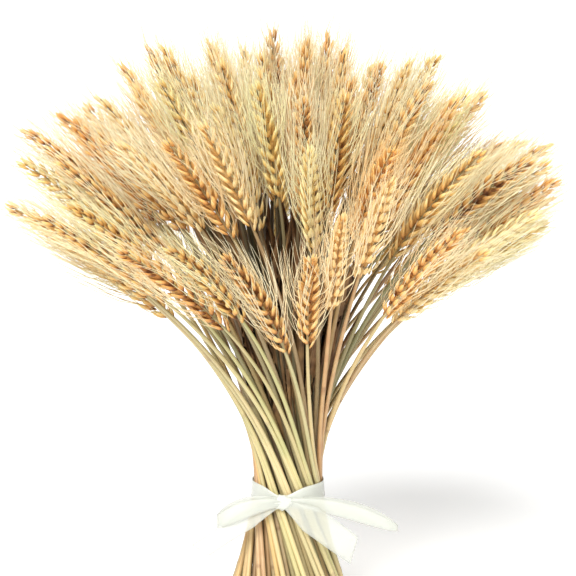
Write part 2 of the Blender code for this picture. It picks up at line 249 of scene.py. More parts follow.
# tone: attributes by weight, whose sum picks the colour; shade: the brightness that it is multiplied by;
# blotches and grain: metres across; bump: strength, then depth in metres
surface = {
    "dryStraw": {"roughness": 0.42, "blotches": 0.009, "tone": {"tint": 1.0, "blotches": 0.5},
                 "toneShift": -0.25, "ribs": 9, "ribDepth": 0.09, "shade": 0.93, "bump": (0.35, 0.0004)},
    "wheatHusk": {"roughness": 0.5, "blotches": 0.011, "grain": 0.0009, "grainShade": 0.30,
                  # lengthwise darkens each husk towards its foot: painted shade where the husks overlap
                  "tone": {"lengthwise": 0.85, "tint": 1.0, "blotches": 0.4, "shade": 0.35},
                  "toneShift": -0.63, "ribs": 7, "ribDepth": 0.06, "shade": 0.82, "bump": (0.4, 0.0005)},
    "strawAwn": {"roughness": 0.45, "toneShift": 0.0,
                 "tone": {"lengthwise": 0.3, "shade": 0.75, "tint": 0.3}},
    "dryLeaf": {"roughness": 0.6, "blotches": 0.010,
                "ribs": 10, "ribDepth": 0.08, "shade": 0.9, "bump": (0.4, 0.0005)},
    "ribbonSatin": {"roughness": 0.32, "weaveScale": 900, "weaveUnevenness": 0.4, "weaveCover": 0.14,
                    "fullnessCover": 0.5, "cover": 0.26, "sheen": 0.4, "bump": (0.2, 0.0001)},
    "paleFloor": {"roughness": 0.9},
}


def newMaterial(name):
    look = surface[name]
    material = bpy.data.materials.new(name)
    material.use_nodes = True
    shader = material.node_tree.nodes["Principled BSDF"]
    shader.inputs["Roughness"].default_value = look["roughness"]
    return look, material, material.node_tree, shader


def addNode(tree, kind, inputs=None, **settings):
    # inputs go by name or number, each fed by another node's output or set to a fixed value
    node = tree.nodes.new(kind)
    for name, value in settings.items():
        setattr(node, name, value)
    for label, value in (inputs or {}).items():
        if isinstance(value, bpy.types.NodeSocket):
            tree.links.new(value, node.inputs[label])
        else:
            node.inputs[label].default_value = value
    return node


def ramp(tree, amount, stops):
    node = addNode(tree, "ShaderNodeValToRGB", {"Fac": amount})
    elements = node.color_ramp.elements
    while len(elements) < len(stops):
        elements.new(0.5)
    for element, (place, name) in zip(elements, stops):
        element.position = place
        element.color = finish[name]
    return node.outputs["Color"]


def attribute(tree, name):
    return addNode(tree, "ShaderNodeAttribute", attribute_name=name).outputs["Fac"]


def mathNode(tree, operation, a, b=0.0, clamp=False):
    node = addNode(tree, "ShaderNodeMath", {0: a, 1: b}, operation=operation, use_clamp=clamp)
    return node.outputs["Value"]


def weigh(tree, parts, shift, clamp=False):
    # the sum of outputs, each by its weight, and a fixed shift
    total = 0.0
    for output, weight in parts:
        total = mathNode(tree, "ADD", total, mathNode(tree, "MULTIPLY", output, weight))
    return mathNode(tree, "ADD", total, shift, clamp)


def multiply(tree, colour, amount):
    inputs = {"Factor": 1, "A": colour, "B": amount}
    node = addNode(tree, "ShaderNodeMix", inputs, data_type="RGBA", blend_type="MULTIPLY")
    return node.outputs["Result"]


def newGroup(name, inputs, outputs):
    # sockets are given by name with the values that they start from
    group = bpy.data.node_groups.new(name, "ShaderNodeTree")
    for direction, sockets in (("INPUT", inputs), ("OUTPUT", outputs)):
        for label, start in sockets.items():
            kind = "NodeSocketFloat" if isinstance(start, float) else "NodeSocketColor"
            socket = group.interface.new_socket(label, in_out=direction, socket_type=kind)
            socket.default_value = start
    return group, group.nodes.new("NodeGroupInput"), group.nodes.new("NodeGroupOutput")


def blotchGroup(name):
    # soft blotches and fine grain in dried plant matter, both about 0 to 1
    sizes = {"Blotch Size": 0.006, "Grain Size": 0.0012}
    group, start, end = newGroup(name, sizes, {"Blotches": 0.0, "Grain": 0.0})
    place = group.nodes.new("ShaderNodeTexCoord").outputs["Object"]
    for size, output in zip(sizes, ("Blotches", "Grain")):
        scale = mathNode(group, "DIVIDE", 1.0, start.outputs[size])
        noise = addNode(group, "ShaderNodeTexNoise", {"Vector": place, "Scale": scale, "Detail": 2})
        group.links.new(noise.outputs["Fac"], end.inputs[output])
    return group


def ribGroup(name):
    # fine ribs that run the length of a piece, below 0 in their hollows
    group, start, end = newGroup(name, {"Around": 0.0, "Count": 8.0, "Depth": 0.1}, {"Ribs": 0.0})
    turn = mathNode(group, "MULTIPLY", start.outputs["Count"], math.tau)
    wave = mathNode(group, "SINE", mathNode(group, "MULTIPLY", start.outputs["Around"], turn))
    group.links.new(mathNode(group, "MULTIPLY", wave, start.outputs["Depth"]), end.inputs["Ribs"])
    return group


def castGroup(name):
    # some stalks dried greener, others redder
    white = finish["noCast"]
    group, start, end = newGroup(name, {"Warmth": 0.5, "Colour": white}, {"Colour": white})
    stops = ((0.0, "coolCast"), (0.4, "noCast"), (1.0, "warmCast"))
    tint = ramp(group, start.outputs["Warmth"], stops)
    group.links.new(multiply(group, start.outputs["Colour"], tint), end.inputs["Colour"])
    return group


def placeGroup(tree, name, build, values):
    # a group that several materials share, built the first time that one asks for it
    return addNode(tree, "ShaderNodeGroup", values, node_tree=bpy.data.node_groups.get(name) or build(name))


def placeBlotches(tree, look):
    sizes = {"Blotch Size": look["blotches"]}
    if "grain" in look:
        sizes["Grain Size"] = look["grain"]
    return placeGroup(tree, "driedBlotches", blotchGroup, sizes)


def placeRibs(tree, shader, look):
    # ribs that also stand out as a bump
    values = {"Around": attribute(tree, "around"), "Count": look["ribs"], "Depth": look["ribDepth"]}
    ribs = placeGroup(tree, "dryRibs", ribGroup, values).outputs["Ribs"]
    addBump(tree, shader, ribs, *look["bump"])
    return ribs


def addBump(tree, shader, height, strength, distance):
    bump = addNode(tree, "ShaderNodeBump", {"Height": height, "Strength": strength, "Distance": distance})
    tree.links.new(bump.outputs["Normal"], shader.inputs["Normal"])


def mixTone(tree, look, blotches=None, clamp=False):
    # each weight belongs to the attribute of its name, or to the blotches
    parts = []
    for name, weight in look["tone"].items():
        parts.append((blotches if name == "blotches" else attribute(tree, name), weight))
    return weigh(tree, parts, look["toneShift"], clamp)


def paint(tree, shader, tone, stops, shade=None):
    # the tone picks a colour, the stalk's warmth casts it and the shade dims it
    values = {"Warmth": attribute(tree, "warmth"), "Colour": ramp(tree, tone, stops)}
    colour = placeGroup(tree, "driedCast", castGroup, values).outputs["Colour"]
    if shade is not None:
        colour = multiply(tree, colour, shade)
    tree.links.new(colour, shader.inputs["Base Color"])


def strawMaterial():
    look, material, tree, shader = newMaterial("dryStraw")
    tone = mixTone(tree, look, placeBlotches(tree, look).outputs["Blotches"])
    ribs = placeRibs(tree, shader, look)
    shade = mathNode(tree, "ADD", ribs, look["shade"])
    # the paleness attribute also carries a painted shade that darkens the inner straws
    shade = mathNode(tree, "MULTIPLY", shade, attribute(tree, "palenessAndShade"))
    paint(tree, shader, tone, ((0.0, "strawGreen"), (0.5, "strawGold"), (1.0, "strawTan")), shade)
    return material


def huskMaterial():
    look, material, tree, shader = newMaterial("wheatHusk")
    spots = placeBlotches(tree, look)
    # painted shade: the lengthwise weight darkens each husk towards its foot, where the husks overlap; the
    # darkest stop is that shade
    tone = mixTone(tree, look, spots.outputs["Blotches"], clamp=True)
    ribs = placeRibs(tree, shader, look)
    shade = weigh(tree, [(ribs, 1.0), (spots.outputs["Grain"], look["grainShade"])], look["shade"])
    stops = ((0.0, "huskShadeBrown"), (0.22, "huskWarm"), (0.6, "huskGold"), (1.0, "huskPale"))
    paint(tree, shader, tone, stops, shade)
    return material


def awnMaterial():
    look, material, tree, shader = newMaterial("strawAwn")
    paint(tree, shader, mixTone(tree, look, clamp=True), ((0.0, "awnWarm"), (0.7, "awnPale")))
    return material


def leafMaterial():
    look, material, tree, shader = newMaterial("dryLeaf")
    tone = placeBlotches(tree, look).outputs["Blotches"]
    shade = mathNode(tree, "ADD", placeRibs(tree, shader, look), look["shade"])
    # the dark stop is partly the leaves' own brown, partly a stand-in for the shade among the inner straws
    paint(tree, shader, tone, ((0.3, "leafDarkAndShade"), (0.7, "leafTan")), shade)
    return material


def ribbonMaterial():
    look, material, tree, shader = newMaterial("ribbonSatin")
    place = addNode(tree, "ShaderNodeUVMap", uv_map="ribbonPlace").outputs["UV"]
    inputs = {"Vector": place, "Scale": look["weaveScale"], "Distortion": look["weaveUnevenness"]}
    weave = addNode(tree, "ShaderNodeTexWave", inputs, bands_direction="X").outputs["Fac"]
    tint = ramp(tree, weave, ((0.0, "ribbonShade"), (1.0, "ribbonWhite")))
    tree.links.new(tint, shader.inputs["Base Color"])
    # the weave lets light through, least where the ribbon is wound over itself
    parts = [(weave, look["weaveCover"]), (attribute(tree, "fullness"), look["fullnessCover"])]
    tree.links.new(weigh(tree, parts, look["cover"]), shader.inputs["Alpha"])
    shader.inputs["Sheen Weight"].default_value = look["sheen"]
    shader.inputs["Sheen Roughness"].default_value = look["sheen"]
    addBump(tree, shader, weave, *look["bump"])
    return material


# The small shapes that every ear repeats

husk = {
    "rings": ((0.12, 0.58), (0.36, 1.0), (0.64, 0.90), (0.87, 0.46)),  # place along, share of the full width
    "sides": 6,
    "belly": 0.4,
    "innerDepth": 0.45,  # the inner face is flatter than the back
    "keel": 1.12,
    "curl": 0.036,  # how far the tip bends inwards for a husk's length
}
spikelet = {
    "seed": 21,
    # place outwards, sideways and upwards, lean out, lean sideways, turn, length, half width, half depth
    "husks": (
        (0.0004, -0.0016, 0.0000, 8, 12, -38, 0.0112, 0.00180, 0.00150),
        (0.0004, 0.0016, 0.0004, 8, -12, 38, 0.0110, 0.00180, 0.00150),
        (0.0013, 0.0000, 0.0026, 12, 0, 0, 0.0102, 0.00165, 0.00145),
        (0.0002, -0.0025, -0.0008, 6, 16, -72, 0.0092, 0.00150, 0.00105),
        (0.0002, 0.0025, -0.0008, 6, -16, 72, 0.0092, 0.00150, 0.00105),
    ),
    "variants": 4,
    "looseness": 4.0,  # degrees that a husk may lean off its place; it may turn twice as far
    "sizes": (0.94, 1.06),
}
awn = {
    "length": 0.048,
    "baseRadius": 0.00034,
    "tipRadius": 0.00015,
    "steps": 4,
    "sides": 3,
    "sunk": (0.0010, 0.0006),  # its end and its first ring, inside the husk
    "leanOut": -8.0,  # degrees against the spikelet, back towards the ear's line
    "fan": 6.0,
    "scatter": 8.0,
    "bend": 9.0,
    "straightening": 3,  # it points its own way from a third of its length on
}
leaf = {
    "length": 0.105,
    "halfWidth": 0.0052,
    "thickness": 0.0004,
    "root": 0.002,
    "rootWidth": 0.35,
    "fold": 0.35,
    "twist": 2.2,  # radians over its length
    "lean": 0.3,
    "bend": 7.0,  # most degrees to a step
    "steps": 12,
    "variants": 4,
    "heights": (0.12, 0.20),  # where it grows, along the straw from its foot
    "sizes": (0.75, 1.05),
    "toStraw": 3,
    "innermost": 0.80,  # leaves grow on straws nearer the middle than this
}


def addObject(name, data):
    obj = bpy.data.objects.new(name, data)
    bpy.context.scene.collection.objects.link(obj)
    return obj


def makePlain(obj, modifier):
    # the finished shape as a plain mesh, without its modifier
    graph = bpy.context.evaluated_depsgraph_get()
    mesh = bpy.data.meshes.new_from_object(obj.evaluated_get(graph))
    obj.modifiers.remove(modifier)
    obj.data = mesh
    return mesh


def newShape(name, bm, collection):
    bmesh.ops.recalc_face_normals(bm, faces=bm.faces[:])
    mesh = bpy.data.meshes.new(name)
    bm.to_mesh(mesh)
    bm.free()
    mesh.shade_smooth()
    shape = bpy.data.objects.new(name, mesh)
    collection.objects.link(shape)


def addRing(bm, layers, centre, spokes, lengthwise, shade=0.5):
    ring = []
    for k, spoke in enumerate(spokes):
        vert = bm.verts.new(centre + spoke)
        vert[layers[0]] = lengthwise
        vert[layers[1]] = k / len(spokes)
        vert[layers[2]] = shade
        ring.append(vert)
    return ring


def bridge(bm, rings):
    for low, high in zip(rings, rings[1:]):
        for k in range(max(len(low), len(high))):
            a, b = low[k % len(low)], low[(k + 1) % len(low)]
            c, d = high[(k + 1) % len(high)], high[k % len(high)]
            bm.faces.new(dict.fromkeys((a, b, c, d)))


def addHusk(bm, layers, shade, place, leanOut, leanSide, turn, length, halfWidth, halfDepth):
    # a keeled boat shape that closes to a point at both ends
    turned = (
        Matrix.Rotation(math.radians(leanOut), 3, "Y")
        @ Matrix.Rotation(math.radians(leanSide), 3, "X")
        @ Matrix.Rotation(math.radians(turn), 3, "Z")
    )
    rows = [addRing(bm, layers, place, [Vector()], 0.0, shade)]
    curl = husk["curl"] * length
    for at, share in husk["rings"]:
        belly = halfDepth * husk["belly"] * math.sin(math.pi * at)
        centre = Vector((belly - curl * at * at, 0, length * at))
        spokes = []
        for k in range(husk["sides"]):
            angle = math.tau * k / husk["sides"]
            form = husk["keel"] if k == 0 else 1.0 if math.cos(angle) > 0 else husk["innerDepth"]
            x = math.cos(angle) * halfDepth * form
            spokes.append(turned @ Vector((x * share, math.sin(angle) * halfWidth * share, 0)))
        rows.append(addRing(bm, layers, place + turned @ centre, spokes, at, shade))
    tip = place + turned @ Vector((-curl, 0, length))
    rows.append(addRing(bm, layers, tip, [Vector()], 1.0, shade))
    bridge(bm, rows)
    return tip, turned @ Vector((0, 0, 1))


def addAwn(bm, layers, root, heading, aim, rng):
    # a bristle that leaves the husk's tip and straightens towards its aim
    steps = awn["steps"]
    shade = rng.random()
    end, start = awn["sunk"]
    rows = [addRing(bm, layers, root - heading * end, [Vector()], 0.0, shade)]
    centre = root - heading * start
    bendAxis = Vector((rng.uniform(-1, 1), rng.uniform(-1, 1), 0)).normalized()
    bend = math.radians(rng.uniform(0, awn["bend"]))
    for k in range(steps + 1):
        t = k / steps
        radius = awn["baseRadius"] + (awn["tipRadius"] - awn["baseRadius"]) * t
        direction = heading.lerp(aim, min(1.0, awn["straightening"] * t)).normalized()
        direction = Matrix.Rotation(bend * t, 3, bendAxis) @ direction
        across = direction.orthogonal().normalized()
        beside = direction.cross(across)
        angles = [math.tau * side / awn["sides"] for side in range(awn["sides"])]
        spokes = [(across * math.cos(a) + beside * math.sin(a)) * radius for a in angles]
        rows.append(addRing(bm, layers, centre, spokes, t, shade))
        centre = centre + direction * (awn["length"] / steps)
    rows.append(addRing(bm, layers, centre, [Vector()], 1.0, shade))
    bridge(bm, rows)


def addLeaf(bm, layers, rng):
    # a narrow blade, folded along its middle, that bends over towards its tip
    rows = [addRing(bm, layers, Vector((0, 0, -leaf["root"])), [Vector()], 0.0)]
    centre, heading = Vector(), Vector((0, 0, 1))
    bendAxis = Vector((rng.uniform(-leaf["lean"], leaf["lean"]), 1, 0)).normalized()
    twist = rng.uniform(-1, 1) * leaf["twist"]
    wall = leaf["thickness"] / 2
    for k in range(leaf["steps"] + 1):
        t = k / leaf["steps"]
        half = leaf["halfWidth"] * min(1, leaf["rootWidth"] + 3 * t) * (1 - t**3) + wall
        turn = Matrix.Rotation(twist * t, 3, heading)
        side = turn @ Vector((0, 1, 0))
        fold = turn @ Vector((1, 0, 0))
        spokes = [fold * wall, side * half - fold * half * leaf["fold"], -fold * wall]
        spokes += [-side * half - fold * half * leaf["fold"]]
        rows.append(addRing(bm, layers, centre, spokes, t))
        heading = Matrix.Rotation(math.radians(rng.uniform(0, leaf["bend"])) * t, 3, bendAxis) @ heading
        centre = centre + heading * (leaf["length"] / leaf["steps"])
    rows.append(addRing(bm, layers, centre, [Vector()], 1.0))
    bridge(bm, rows)


def newLayers(bm):
    return [bm.verts.layers.float.new(name) for name in ("lengthwise", "around", "shade")]


def buildSpikelet(huskMesh, awnMesh, rng):
    huskLayers, awnLayers = newLayers(huskMesh), newLayers(awnMesh)
    loose = spikelet["looseness"]
    for x, y, z, leanOut, leanSide, turn, length, halfWidth, halfDepth in spikelet["husks"]:
        tip, heading = addHusk(
            huskMesh,
            huskLayers,
            rng.random(),
            Vector((x, y, z)),
            leanOut + rng.uniform(-loose, loose),
            leanSide + rng.uniform(-loose, loose),
            turn + rng.uniform(-loose, loose) * 2,
            length * rng.uniform(*spikelet["sizes"]),
            halfWidth * rng.uniform(*spikelet["sizes"]),
            halfDepth,
        )
        side = (y > 0) - (y < 0)
        lean = math.radians(awn["leanOut"] + rng.uniform(-1, 1) * awn["scatter"])
        fan = math.radians(side * awn["fan"] + rng.uniform(-1, 1) * awn["scatter"])
        aim = Vector((math.sin(lean), math.sin(fan), 1)).normalized()
        addAwn(awnMesh, awnLayers, tip, heading, aim, rng)


def buildShapes():
    # each variant is one spikelet's husks, and beside it the awns that grow from them
    husks, awns, leaves = [bpy.data.collections.new(f"{kind}Shapes") for kind in ("husk", "awn", "leaf")]
    rng = random.Random(spikelet["seed"])
    for variant in range(leaf["variants"]):
        bm = bmesh.new()
        addLeaf(bm, newLayers(bm), rng)
        newShape(f"leafShape{variant}", bm, leaves)
    for variant in range(spikelet["variants"]):
        huskMesh, awnMesh = bmesh.new(), bmesh.new()
        buildSpikelet(huskMesh, awnMesh, rng)
        newShape(f"huskShape{variant}", huskMesh, husks)
        newShape(f"awnShape{variant}", awnMesh, awns)
    return husks, awns, leaves


# A node tree that turns centrelines into straws and joints into spikelets

growth = {
    "strawSides": 8,
    "scatter": (0.05, 0.05, 0.12),  # radians that a spikelet or a leaf may be turned
}


def namedValue(tree, name, kind):
    node = addNode(tree, "GeometryNodeInputNamedAttribute", {"Name": name}, data_type=kind)
    return node.outputs["Attribute"]


def coat(tree, start, geometry, material):
    inputs = {"Geometry": geometry, "Material": start.outputs[material]}
    return addNode(tree, "GeometryNodeSetMaterial", inputs).outputs["Geometry"]


def plantBranch(tree, start, points, collection, scale, material):
    # one shape at every joint, turned a little at random
    inputs = {"Collection": start.outputs[collection], "Separate Children": True, "Reset Children": True}
    shapes = addNode(tree, "GeometryNodeCollectionInfo", inputs)
    inputs = {0: start.outputs["Scatter"], "Scale": -1}
    low = addNode(tree, "ShaderNodeVectorMath", inputs, operation="SCALE")
    inputs = {"Min": low.outputs["Vector"], "Max": start.outputs["Scatter"], "Seed": start.outputs["Seed"]}
    scatter = addNode(tree, "FunctionNodeRandomValue", inputs, data_type="FLOAT_VECTOR")
    turn = addNode(tree, "FunctionNodeEulerToRotation", {"Euler": scatter.outputs["Value"]})
    inputs = {"Rotation": namedValue(tree, "facing", "QUATERNION"), "Rotate By": turn.outputs["Rotation"]}
    rotate = addNode(tree, "FunctionNodeRotateRotation", inputs, rotation_space="LOCAL")
    place = addNode(tree, "GeometryNodeInstanceOnPoints", {
        "Points": points,
        "Instance": shapes.outputs["Instances"],
        "Pick Instance": True,
        "Instance Index": namedValue(tree, "shape", "INT"),
        "Rotation": rotate.outputs["Rotation"],
        "Scale": namedValue(tree, scale, "FLOAT_VECTOR"),
    })
    real = addNode(tree, "GeometryNodeRealizeInstances", {"Geometry": place.outputs["Instances"]})
    return coat(tree, start, real.outputs["Geometry"], material)


def splitOff(tree, geometry, name):
    # the points that carry the named mark, and the rest
    inputs = {"Geometry": geometry, "Selection": namedValue(tree, name, "BOOLEAN")}
    node = addNode(tree, "GeometryNodeSeparateGeometry", inputs, domain="POINT")
    return node.outputs["Selection"], node.outputs["Inverted"]


def strawBranch(tree, start, lines):
    curve = addNode(tree, "GeometryNodeMeshToCurve", {"Mesh": lines})
    inputs = {"Radius": 1, "Resolution": start.outputs["Straw Sides"]}
    section = addNode(tree, "GeometryNodeCurvePrimitiveCircle", inputs)
    place = tree.nodes.new("GeometryNodeSplineParameter")
    inputs = {"Geometry": section.outputs["Curve"], "Name": "around", "Value": place.outputs["Factor"]}
    around = addNode(tree, "GeometryNodeStoreNamedAttribute", inputs, data_type="FLOAT", domain="POINT")
    sweep = addNode(tree, "GeometryNodeCurveToMesh", {
        "Curve": curve.outputs["Curve"],
        "Profile Curve": around.outputs["Geometry"],
        "Scale": namedValue(tree, "thickness", "FLOAT"),
        "Fill Caps": True,
    })
    return coat(tree, start, sweep.outputs["Mesh"], "Straw Material")


def stalkTree():
    group = bpy.data.node_groups.new("growStalks", "GeometryNodeTree")
    group.interface.new_socket("Geometry", in_out="OUTPUT", socket_type="NodeSocketGeometry")
    sockets = {}
    for name, kind, usual in (
        ("Geometry", "Geometry", None),
        ("Husks", "Collection", None),
        ("Awns", "Collection", None),
        ("Leaves", "Collection", None),
        ("Straw Material", "Material", None),
        ("Husk Material", "Material", None),
        ("Awn Material", "Material", None),
        ("Leaf Material", "Material", None),
        ("Straw Sides", "Int", growth["strawSides"]),
        ("Scatter", "Vector", growth["scatter"]),
        ("Seed", "Int", 0),
    ):
        socket = group.interface.new_socket(name, in_out="INPUT", socket_type=f"NodeSocket{kind}")
        sockets[name] = socket.identifier
        if usual is not None:
            socket.default_value = usual
    start = group.nodes.new("NodeGroupInput")
    end = group.nodes.new("NodeGroupOutput")
    joints, lines = splitOff(group, start.outputs["Geometry"], "joint")
    leafRoots, lines = splitOff(group, lines, "leafRoot")
    join = group.nodes.new("GeometryNodeJoinGeometry")
    for geometry in (
        strawBranch(group, start, lines),
        plantBranch(group, start, joints, "Husks", "huskScale", "Husk Material"),
        plantBranch(group, start, joints, "Awns", "awnScale", "Awn Material"),
        plantBranch(group, start, leafRoots, "Leaves", "huskScale", "Leaf Material"),
    ):
        group.links.new(geometry, join.inputs["Geometry"])
    smooth = group.nodes.new("GeometryNodeSetShadeSmooth")
    group.links.new(join.outputs["Geometry"], smooth.inputs["Geometry"])
    group.links.new(smooth.outputs["Geometry"], end.inputs["Geometry"])
    return group, sockets


# One stalk as points: a line for the straw and a joint for each spikelet

straw = {
    "seed": 5,
    "step": 3,  # path points to a section
    "radius": 0.00165,
    "neckRadius": 0.001045,
    "rachisRadius": 0.0008,
    "rachisTaper": 0.6,
    "foot": 0.0009,  # how far it runs on before the floor cuts it level
    "lowJoint": (0.006, 0.10),  # places of the swollen joints, along the straw from its foot
    "highJoint": (0.13, 0.22),
    "highJointShare": 0.35,  # of the straws show that joint above the tie
    "jointSwell": 1.16,
    "jointTint": 0.3,
    "jointPaleness": 0.78,
    "sheathLength": (0.04, 0.09),
    "sheathSwell": 1.10,
    "sheathTint": 0.12,
    "sheathPaleness": 1.05,
    "innerPaintedShade": 0.26,  # brightness of the straws in the middle against the outermost: a painted shade for the shadow inside the bundle
    "paintedShadeFade": 0.6,  # place between the middle and the rim where the painted shade begins to fade
}
ear = {
    "pitch": 0.0043,
    "topRoom": 0.0085,  # for the last spikelet, from its joint to the ear's tip
    "spread": 16.0,  # degrees that a spikelet leans off the ear
    "spreadLoss": 0.35,
    "rise": 0.0007,
    "sizes": (0.94, 1.06),
    "topAwn": 0.42,  # awns near the tip against those lower down
    "lowAwn": 0.5,
    "awnSizes": (0.85, 1.08),
    "tintSpread": 0.08,
}


# what each point carries, and its value where none is given
pointData = {
    "joint": ("BOOLEAN", False),
    "leafRoot": ("BOOLEAN", False),
    "thickness": ("FLOAT", 0.001),
    # paleness: the joints' and sheaths' own brightness times a painted shade on the inner straws
    "palenessAndShade": ("FLOAT", 1.0),
    "tint": ("FLOAT", 0.5),
    "warmth": ("FLOAT", 0.5),
    "shape": ("INT", 0),
    "facing": ("QUATERNION", (1, 0, 0, 0)),
    "huskScale": ("FLOAT_VECTOR", (1, 1, 1)),
    "awnScale": ("FLOAT_VECTOR", (1, 1, 1)),
}


def earOutline(t):
    # widest a little above its foot, narrower from the middle to the tip
    return min(1, 0.62 + 2.4 * t) * (1 - 0.40 * ease((t - 0.5) / 0.5))


def strawLine(stalk, rng):
    # centreline points; a swollen joint and a sheath above it
    points, start = stalk["points"], stalk["earStart"]
    step = sheaf["sampleStep"]
    nodeAt = [rng.uniform(*straw["lowJoint"])]
    if rng.random() < straw["highJointShare"]:
        nodeAt.append(rng.uniform(*straw["highJoint"]))
    sheathLength = rng.uniform(*straw["sheathLength"])
    last = len(points) - 3
    picks = set(range(0, last, straw["step"])) | {last}
    for at in nodeAt:
        picks |= {round(at / step) + k for k in (-1, 0, 1) if round(at / step) + 1 < start}
    line = []
    inner, brightens = straw["innerPaintedShade"], straw["paintedShadeFade"]
    # painted shade: the straws nearer the middle are darker, as if in the bundle's shadow; the joints and
    # sheaths add their own colour
    paintedShadeLevel = inner + (1 - inner) * max(0.0, (stalk["share"] - brightens) / (1 - brightens))
    foot = points[0] - (points[1] - points[0]).normalized() * straw["foot"]
    for i in sorted(picks):
        t = min(1.0, i / start)
        radius = straw["radius"] + (straw["neckRadius"] - straw["radius"]) * t * t
        if i > start:
            radius = straw["rachisRadius"] * (1 - straw["rachisTaper"] * (i - start) / (len(points) - start))
        tint, paleAndShade = stalk["tint"], paintedShadeLevel
        for at in nodeAt:
            above = i * step - at
            part = "joint" if abs(above) < step * 0.6 else "sheath" if 0 < above < sheathLength else None
            if part:
                radius *= straw[part + "Swell"]
                tint, paleAndShade = tint + straw[part + "Tint"], paleAndShade * straw[part + "Paleness"]
        values = {"thickness": radius, "tint": tint, "palenessAndShade": paleAndShade, "warmth": stalk["warmth"]}
        line.append({"place": points[i] if i else foot, **values})
    return line


def newJoint(stalk, place, out, up, **values):
    # out is the way that a shape's back faces, up the way that it grows
    facing = Matrix((out, up.cross(out), up)).transposed().to_quaternion()
    return {"place": place, "facing": tuple(facing), "warmth": stalk["warmth"], **values}


def earJoints(stalk, rng):
    joints = []
    points, start = stalk["points"], stalk["earStart"]
    frames = stalkFrames(stalk)
    last = len(points) - 1
    reach = (last - start) * sheaf["sampleStep"] - ear["topRoom"]
    count = round(reach / ear["pitch"])
    for k in range(count + 1):
        t = k / count
        at = start + reach * t / sheaf["sampleStep"]
        i = min(int(at), last - 1)
        centre = points[i].lerp(points[i + 1], at - i)
        direction, across = frames[i]
        width = Matrix.Rotation(stalk["roll"], 3, direction) @ across
        isTop = k == count
        outward = direction.cross(width) if isTop else width * (1 if k % 2 else -1)
        lean = 0.0 if isTop else math.radians(ear["spread"] * (1 - ear["spreadLoss"] * t))
        up = direction * math.cos(lean) + outward * math.sin(lean)
        out = outward * math.cos(lean) - direction * math.sin(lean)
        size = earOutline(t) * rng.uniform(*ear["sizes"])
        awnSize = (1 - (1 - ear["topAwn"]) * ease(t * 1.1)) * rng.uniform(*ear["awnSizes"])
        if k < 2:
            awnSize *= ear["lowAwn"]
        place = centre + outward * (0.0 if isTop else ear["rise"])
        joints.append(newJoint(
            stalk, place, out, up,
            joint=True,
            huskScale=(size, size, 0.55 + 0.45 * size),
            awnScale=(size, size, awnSize),
            shape=rng.randrange(spikelet["variants"]),
            tint=stalk["tint"] + rng.uniform(-ear["tintSpread"], ear["tintSpread"]),
        ))
    return joints


def leafRoots(stalk, rng):
    # dry blades on an inner straw, between the tie and the ears; their dark brown also stands in for the
    # shade among the inner straws
    roots = []
    frames = stalkFrames(stalk)
    for _ in range(leaf["toStraw"] if stalk["share"] <= leaf["innermost"] else 0):
        i = round(rng.uniform(*leaf["heights"]) / sheaf["sampleStep"])
        direction, across = frames[i]
        out = Matrix.Rotation(rng.uniform(0, math.tau), 3, direction) @ across
        values = {"leafRoot": True, "huskScale": [rng.uniform(*leaf["sizes"])] * 3, "tint": stalk["tint"]}
        values["shape"] = rng.randrange(leaf["variants"])
        roots.append(newJoint(stalk, stalk["points"][i], out, direction, **values))
    return roots


def pairMesh(name, lines, joints):
    points, edges = [], []
    for line in lines:
        edges += [(len(points) + k, len(points) + k + 1) for k in range(len(line) - 1)]
        points += line
    points += joints
    mesh = bpy.data.meshes.new(name)
    mesh.from_pydata([point["place"] for point in points], edges, [])
    for label, (kind, usual) in pointData.items():
        values = np.array([point.get(label, usual) for point in points])
        field = "vector" if kind == "FLOAT_VECTOR" else "value"
        mesh.attributes.new(label, kind, "POINT").data.foreach_set(field, values.ravel())
    return mesh


def growPair(number, pair, tree, sockets, given):
    name = f"wheatPair{number:02d}"
    rng = random.Random(straw["seed"] * 1000 + number)
    lines, joints = [], []
    for stalk in pair:
        stalk["tint"] = rng.betavariate(2, 2.2)
        stalk["warmth"] = rng.betavariate(1.6, 2.4)
        lines.append(strawLine(stalk, rng))
        joints += earJoints(stalk, rng) + leafRoots(stalk, rng)
    obj = addObject(name, pairMesh(name, lines, joints))
    grow = obj.modifiers.new("Grow", "NODES")
    grow.node_group = tree
    for label, value in {**given, "Seed": number}.items():
        grow[sockets[label]] = value
    mesh = makePlain(obj, grow)
    places = np.empty(3 * len(mesh.vertices), np.float32)
    mesh.vertices.foreach_get("co", places)
    places[2::3] = np.maximum(places[2::3], 0)  # cut level with the floor
    mesh.vertices.foreach_set("co", places)
    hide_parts(f"wheat_pair_{number:02d}")
    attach(obj, "root")
    return obj


def growSheaf():
    stalks = layOutStalks()
    print("laid out", len(stalks), "stalks")
    husks, awns, leaves = buildShapes()
    tree, sockets = stalkTree()
    given = {
        "Husks": husks,
        "Awns": awns,
        "Leaves": leaves,
        "Straw Material": strawMaterial(),
        "Husk Material": huskMaterial(),
        "Awn Material": awnMaterial(),
        "Leaf Material": leafMaterial(),
    }
    faces = 0
    for number in range(1, len(stalks) // 2 + 1):
        obj = growPair(number, stalks[2 * number - 2 : 2 * number], tree, sockets, given)
        faces += sum(len(polygon.vertices) - 2 for polygon in obj.data.polygons)
    for collection in (husks, awns, leaves):
        for shape in list(collection.objects):
            bpy.data.objects.remove(shape)
        bpy.data.collections.remove(collection)
    print("grew the wheat with", faces, "triangles")


# Satin ribbon: a band round the straws, a knot, two loops and two tails

